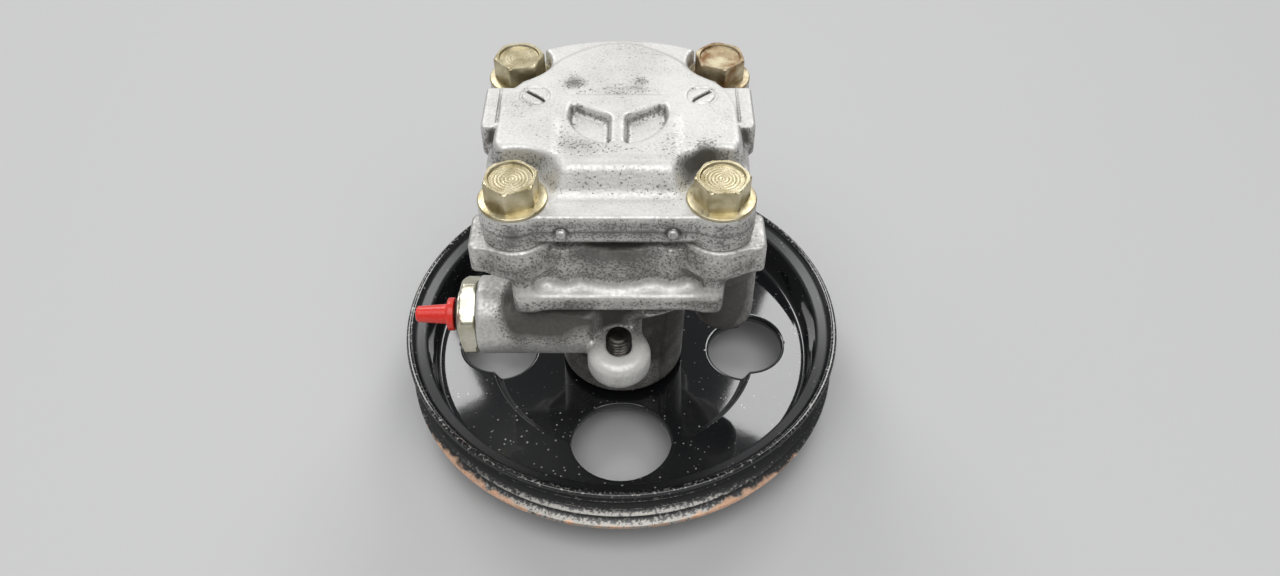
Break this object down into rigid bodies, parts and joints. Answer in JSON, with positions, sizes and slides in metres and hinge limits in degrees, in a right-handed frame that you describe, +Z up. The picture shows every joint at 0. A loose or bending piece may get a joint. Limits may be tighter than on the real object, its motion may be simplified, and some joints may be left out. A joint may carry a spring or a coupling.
{
  "type": "power steering pump",
  "caption": "Vane pump for hydraulic steering: cast body and bolted rear cover, grooved belt pulley on its shaft, flow control valve, screwed pressure switch with a pull-off cap.",
  "frame": {"origin": "on the shaft axis, on the floor under the pulley nut", "axes": "+Z up along the shaft from the pulley to the rear cover, -Y towards the stud lug, -X along the valve barrel to the switch"},
  "size_m": [0.13, 0.13, 0.1037],
  "materials": {
    "black_paint": "gloss black paint",
    "turned_steel": "turned and ground steel",
    "yellow_zinc": "yellow passivated zinc on steel",
    "dark_steel": "blackened steel",
    "bearing_steel": "polished hardened steel",
    "bronze": "sintered bronze",
    "seal_rubber": "black rubber",
    "body_casting": "cast aluminium, soiled",
    "cover_casting": "cast aluminium",
    "black_plastic": "moulded insulator",
    "brass_terminal": "brass",
    "red_plastic": "red moulded plastic"
  },
  "bodies": {
    "housing": {"pump_body": "body_casting", "mounting_stud": "dark_steel", "bearing_outer_ring": "bearing_steel", "bearing_clip": "dark_steel", "shaft_seal": "seal_rubber", "shaft_bush": "bronze", "side_plate": "turned_steel", "side_plate_seal": "seal_rubber", "cam_ring": "turned_steel", "dowel_pins": "bearing_steel", "cover_seal": "seal_rubber", "rear_cover": "cover_casting", "cover_bolts": "yellow_zinc", "valve_spring": "dark_steel", "pressure_switch": "yellow_zinc", "switch_seal": "seal_rubber", "switch_insulator": "black_plastic", "switch_terminal": "brass_terminal"},
    "shaft_group": {"drive_shaft": "turned_steel", "pulley": "black_paint", "pulley_hub": "turned_steel", "pulley_nut": "yellow_zinc", "spring_washer": "dark_steel", "pulley_key": "turned_steel", "bearing_inner_ring": "bearing_steel", "rotor": "turned_steel", "vanes": "bearing_steel", "rotor_clip": "dark_steel"},
    "ball_group": {"bearing_balls": "bearing_steel", "bearing_cage": "bronze"},
    "spool": {"valve_spool": "turned_steel"},
    "cap": {"terminal_cap": "red_plastic"}
  },
  "joints": [
    {"name": "shaft_spin", "type": "hinge", "parent": "housing", "child": "shaft_group", "pos_m": [0, 0, 0.05], "axis": [0, 0, 1], "continuous": true},
    {"name": "ball_orbit", "type": "hinge", "parent": "housing", "child": "ball_group", "pos_m": [0, 0, 0.02], "axis": [0, 0, 1], "continuous": true},
    {"name": "spool_slide", "type": "slide", "parent": "housing", "child": "spool", "axis": [-1, 0, 0], "range_m": [0, 0.005], "stiffness_N_per_m": 800, "springref_m": -0.003, "deforming": ["valve_spring"]},
    {"name": "cap_pull", "type": "slide", "parent": "housing", "child": "cap", "axis": [-1, 0, 0], "range_m": [0, 0.014]}
  ],
  "couplings": [
    {"joint": "ball_orbit", "follows": "shaft_spin", "ratio": 0.4021}
  ]
}
